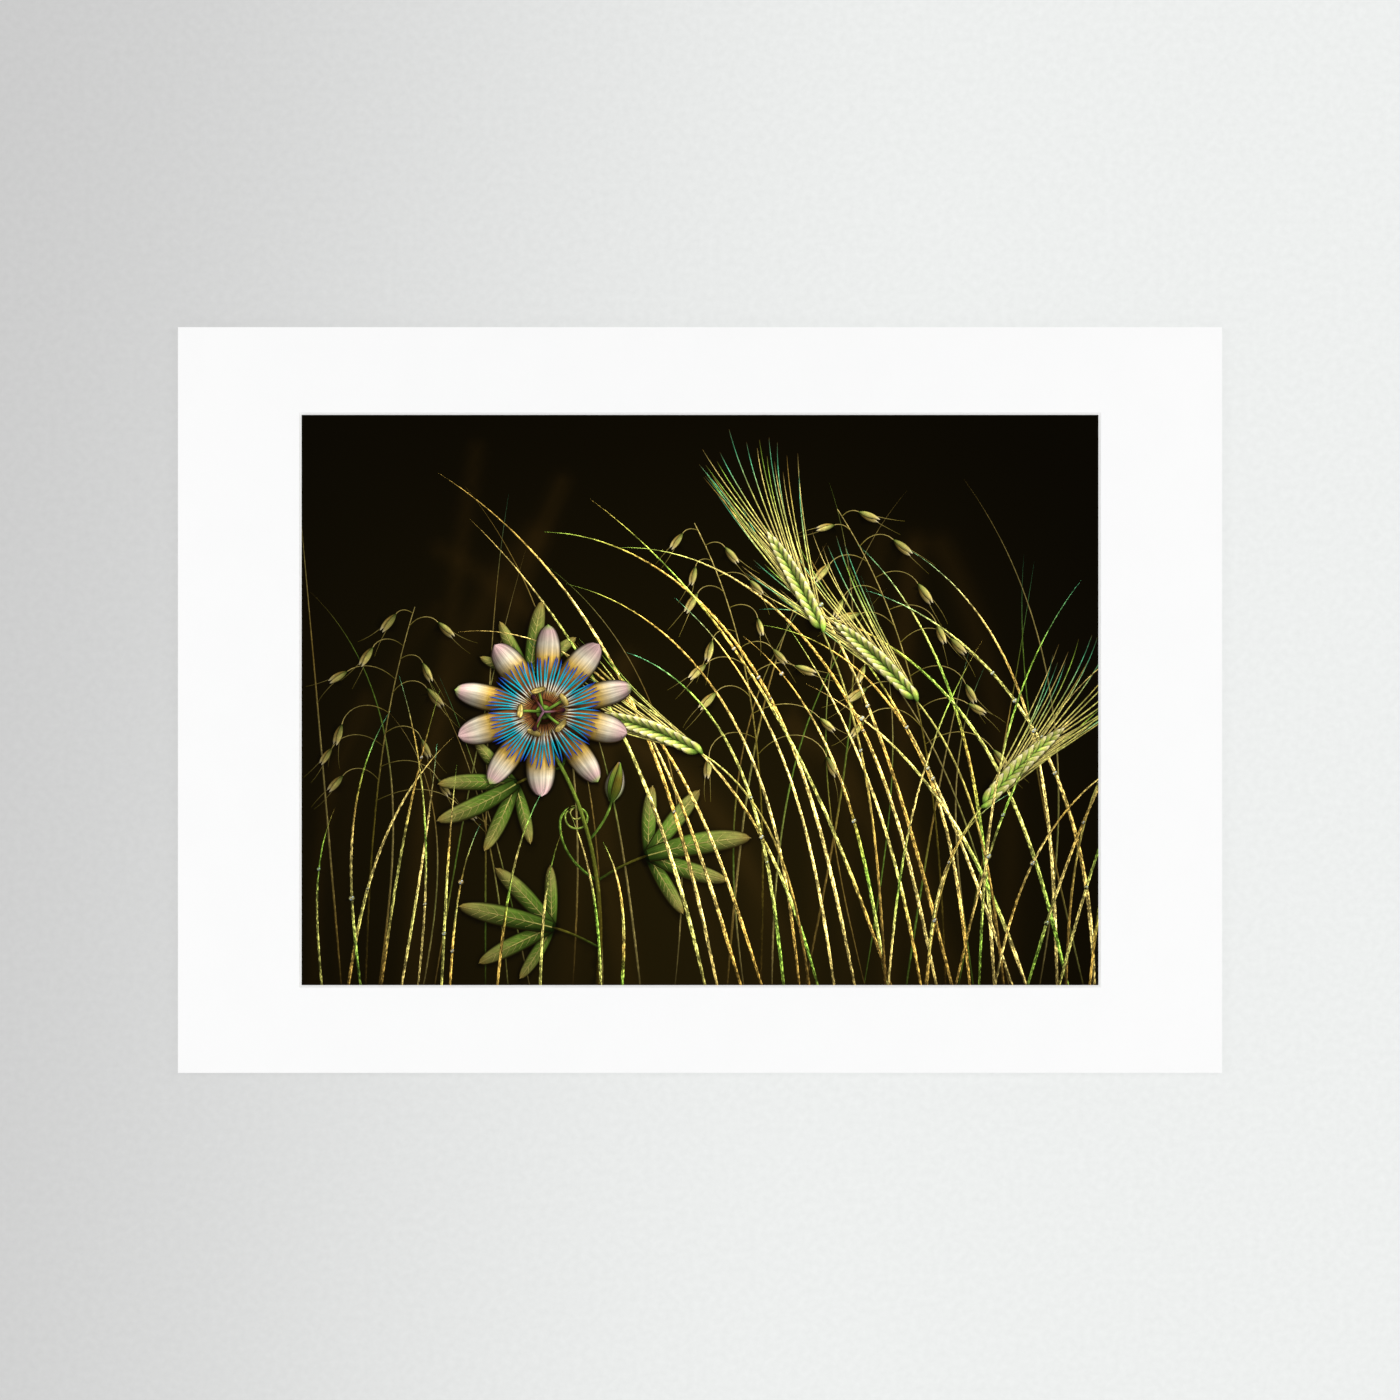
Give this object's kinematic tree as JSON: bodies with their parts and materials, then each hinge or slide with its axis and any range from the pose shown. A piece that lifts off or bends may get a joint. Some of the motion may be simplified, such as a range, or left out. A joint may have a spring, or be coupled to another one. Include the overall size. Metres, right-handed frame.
{
  "type": "matted art print",
  "caption": "Flat landscape art print in a wide white window mat with a bevelled opening, on a foam-cored backing board.",
  "frame": {"origin": "middle of the underside of the backing board, on the surface that the print lies on", "axes": "+X to the right of the picture along its long side, +Y to the top of the picture, +Z out of its front"},
  "size_m": [0.7, 0.5, 0.0052],
  "materials": {
    "backing_board": "matt white paper skins on both faces of a white foam core that shows at the cut edges",
    "art_print": "pigment print on satin art paper: thin gold and green blades and one blue flower on a near-black warm ground, white paper at the back and the edges",
    "window_mat": "matt white mat card with a fine paper tooth and a white core at the bevel",
    "paper_tab": "matt cream gummed paper with long fibres",
    "mount_tape": "off-white double-sided tape with a slight sheen"
  },
  "bodies": {
    "root": {"backing_board": "backing_board", "art_print": "art_print", "window_mat": "window_mat", "paper_tab_left": "paper_tab", "paper_tab_right": "paper_tab", "mount_tape_top": "mount_tape", "mount_tape_bottom": "mount_tape", "mount_tape_left": "mount_tape", "mount_tape_right": "mount_tape"}
  },
  "joints": []
}
